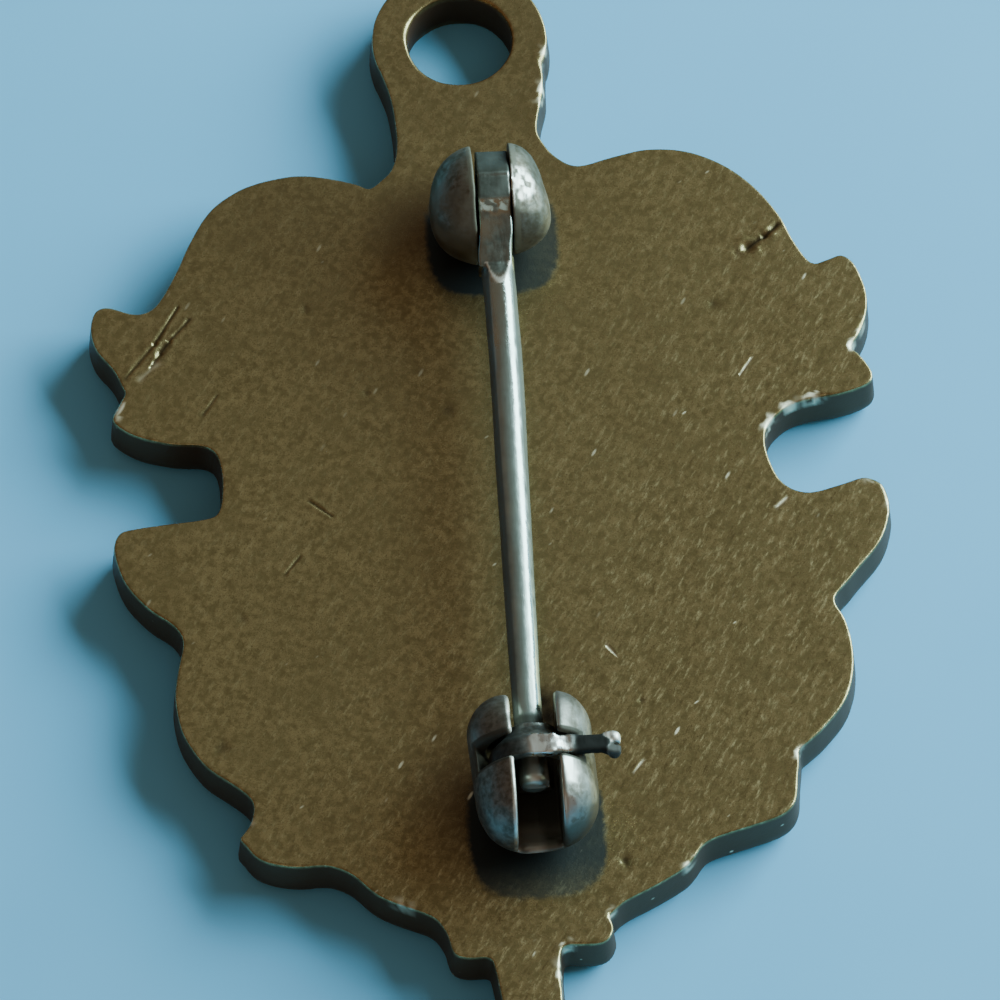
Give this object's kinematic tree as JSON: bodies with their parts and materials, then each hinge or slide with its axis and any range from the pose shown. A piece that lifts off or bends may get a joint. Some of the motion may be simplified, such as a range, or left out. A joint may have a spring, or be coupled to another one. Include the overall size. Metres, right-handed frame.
{
  "type": "award pin",
  "caption": "Struck brass badge pin lying face down, with a hanging loop at its top and a hinged pin stem and ball-shaped safety catch on its back.",
  "frame": {"origin": "middle of the whole pin's outline, on the surface that its front rests on", "axes": "+Z from the badge's front to its back, where the pin stem is; +Y from the stem of the badge towards its hanging loop; +X to the side that the lock's tab points"},
  "size_m": [0.022, 0.0346, 0.0047],
  "materials": {
    "badge": "antiqued brass, mottled brown, with rubbed bright edges",
    "findings": "worn nickel silver with dark tarnish",
    "rivet": "dull nickel silver",
    "stem": "worn, half-bright nickel silver wire",
    "lock": "dark worn nickel silver with a bright, brassy end"
  },
  "bodies": {
    "badge": {"badge_plate": "badge", "hinge_knuckle": "findings", "hinge_rivet": "rivet", "catch_housing": "findings"},
    "pin": {"pin_stem": "stem"},
    "lock": {"catch_lock": "lock"}
  },
  "joints": [
    {"name": "pin_hinge", "type": "hinge", "parent": "badge", "child": "pin", "pos_m": [0.00058, 0.00822, 0.0031], "axis": [-1, 0, 0], "range_deg": [0, 100]},
    {"name": "lock_turn", "type": "hinge", "parent": "badge", "child": "lock", "pos_m": [0.00041, -0.00949, 0.00335], "axis": [0, -1, 0], "range_deg": [0, 110]}
  ]
}
